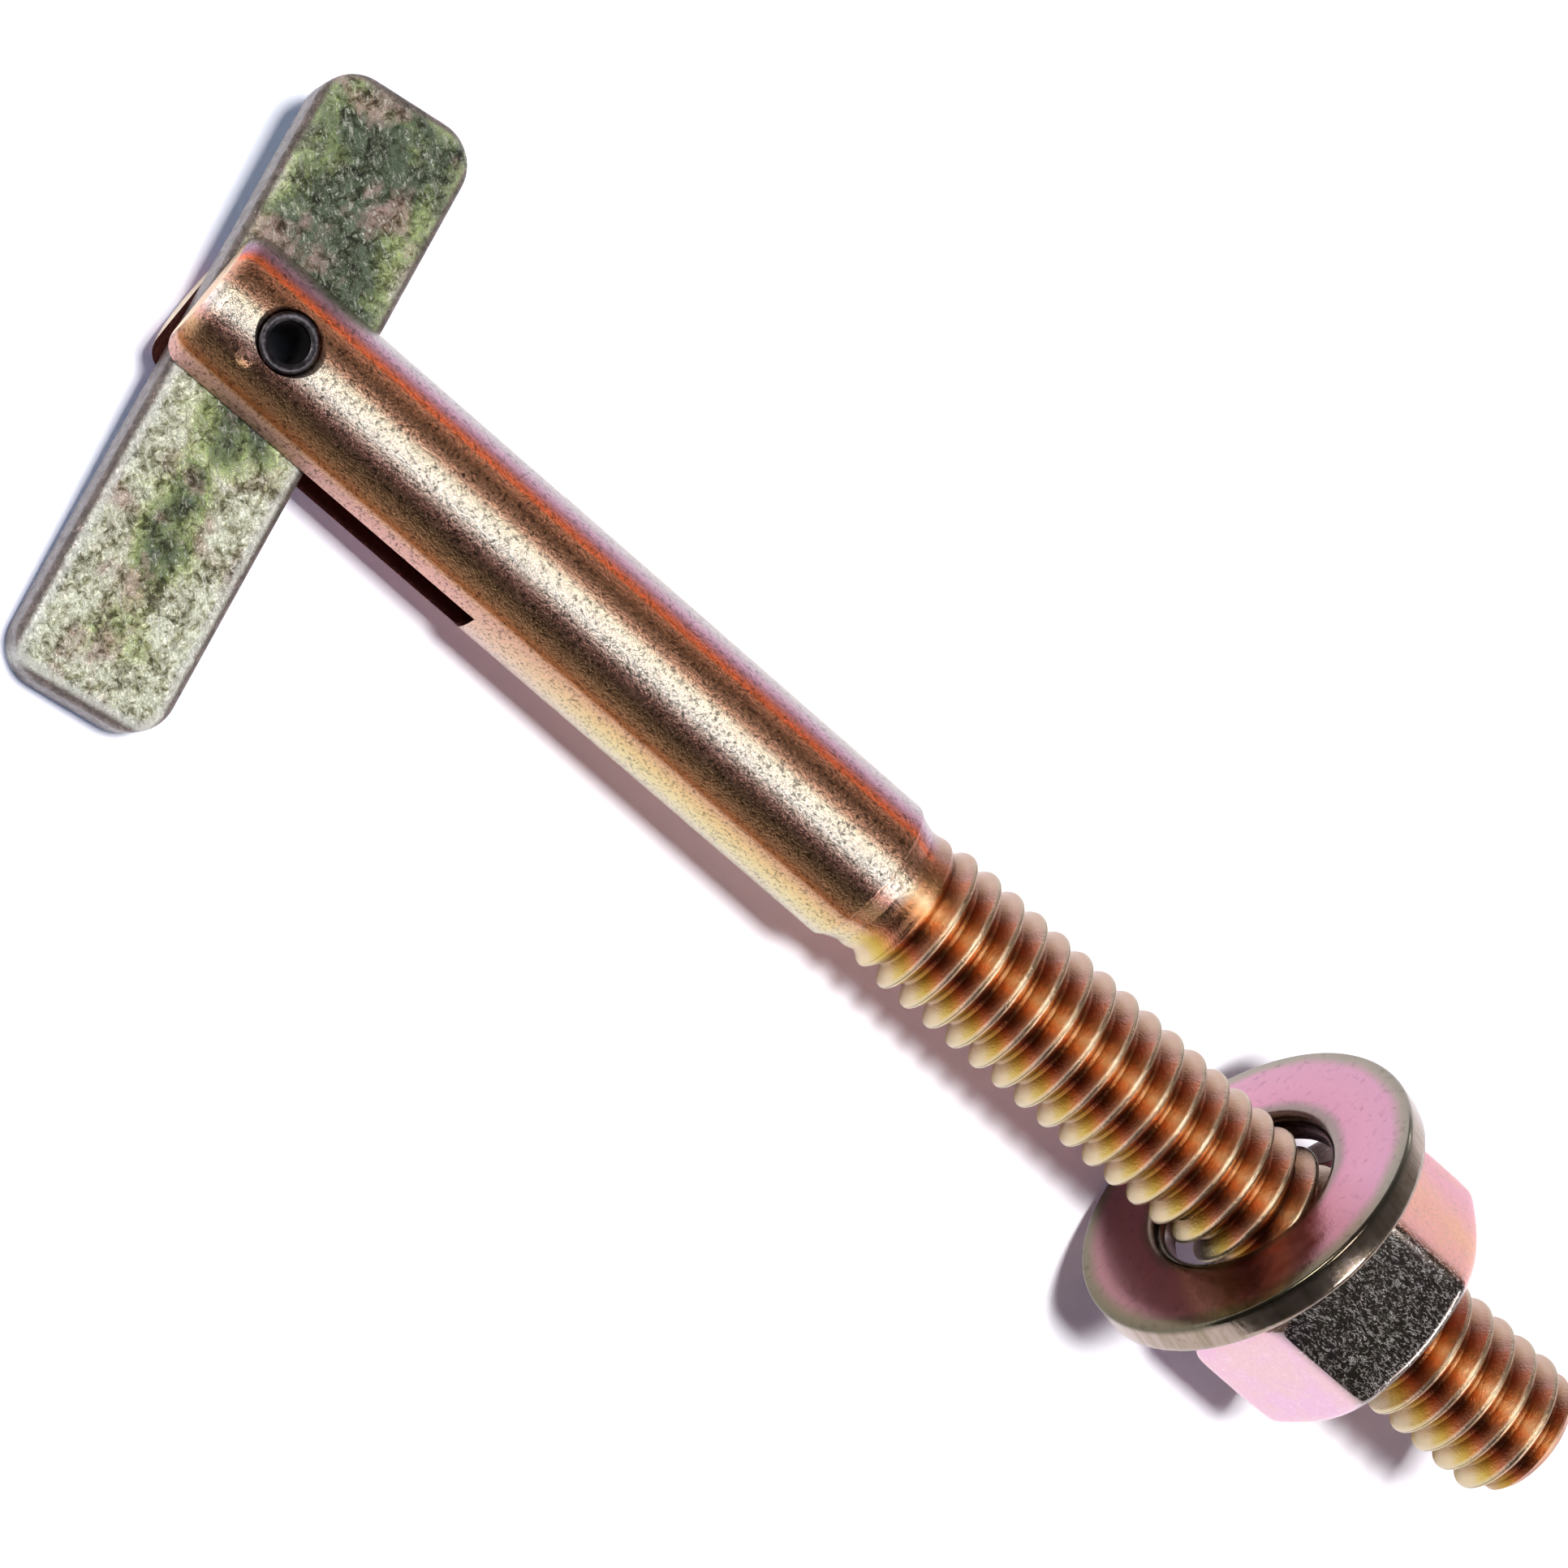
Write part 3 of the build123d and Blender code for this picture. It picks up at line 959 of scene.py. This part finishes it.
def floor_finish():
    """Matt white paper. It is lighter to the camera and in the metal, and a painted glow tints its
    shadows bluish.
    """
    material = bpy.data.materials.new("paper")
    material.use_nodes = True
    g = Graph(material.node_tree)
    g.tree.nodes.clear()
    path = g.add("LightPath")
    seen = g.maths("MAXIMUM", path.outputs["Is Camera Ray"], path.outputs["Is Glossy Ray"])
    fibres = g.add("TexNoise", {"Scale": PAPER_FIBRES}).outputs["Fac"]
    tone = g.mix(fibres, PAPER_DARKER, PAPER_LIGHTER)
    paper = g.add("BsdfDiffuse", {"Color": g.mix(seen, tone, PAPER_SEEN)})
    along = g.add("SeparateXYZ", {0: g.add("TexCoord").outputs["Object"]}).outputs[0]
    ends = g.add("MapRange", {"Value": along, "From Min": LIFT_START, "From Max": LIFT_STOP})
    # Painted glow: it tints the paper's shadows, bluer by the bar than by the nut
    tint = g.mix(ends.outputs["Result"], LIFT_BY_BAR, LIFT_BY_NUT)
    painted_glow = g.add("Emission", {"Color": tint, "Strength": seen})
    both = g.add("AddShader", {0: paper.outputs[0], 1: painted_glow.outputs[0]})
    g.add("OutputMaterial", {"Surface": both.outputs[0]})
    return material


# A white sheet that reaches to the horizon
low, high = -FLOOR_REACH, FLOOR_REACH
floor_corners = [(low, low, 0), (high, low, 0), (high, high, 0), (low, high, 0)]
floor_mesh = bpy.data.meshes.new("floor")
floor_mesh.from_pydata(floor_corners, [], [(0, 1, 2, 3)])
floor_mesh.materials.append(floor_finish())
floor = bpy.data.objects.new("floor", floor_mesh)
bpy.context.scene.collection.objects.link(floor)

# ------------------------------------------------------------ room
# A dark room with a paler wall towards +Y: its greys, from that wall's foot at 0 to overhead
# and beyond at 1. To the camera itself the room is white
ROOM_GREYS = (
    (0.0, 0.5),
    (0.125, 0.38),
    (0.27, 0.3),
    (0.4, 0.15),
    (0.573, 0.10),
    (0.693, 0.08),
    (0.776, 0.06),
    (1.0, 0.045),
)
ROOM_TINT = (1.0, 0.96, 0.94)
WALL_SHARE = 0.7
ROOM_SPAN = 1.92

world = bpy.data.worlds.new("room")
bpy.context.scene.world = world
world.use_nodes = True
room = Graph(world.node_tree)
room.tree.nodes.clear()
from_wall = room.add(
    "VectorMath",
    {
        0: room.add("TexCoord").outputs["Generated"],
        1: (0, -WALL_SHARE / ROOM_SPAN, 1 / ROOM_SPAN),
    },
    operation="DOT_PRODUCT",
)
from_wall = room.maths("ADD", from_wall.outputs["Value"], WALL_SHARE / ROOM_SPAN)
stops = [(spot, tuple(grey * part for part in ROOM_TINT)) for spot, grey in ROOM_GREYS]
to_camera = room.add("LightPath").outputs["Is Camera Ray"]
sky = room.mix(to_camera, room.ramp(from_wall, *stops), (1, 1, 1))
background = room.add("Background", {"Color": sky})
room.add("OutputWorld", {"Surface": background.outputs[0]})

bpy.context.scene.view_settings.view_transform = "Standard"
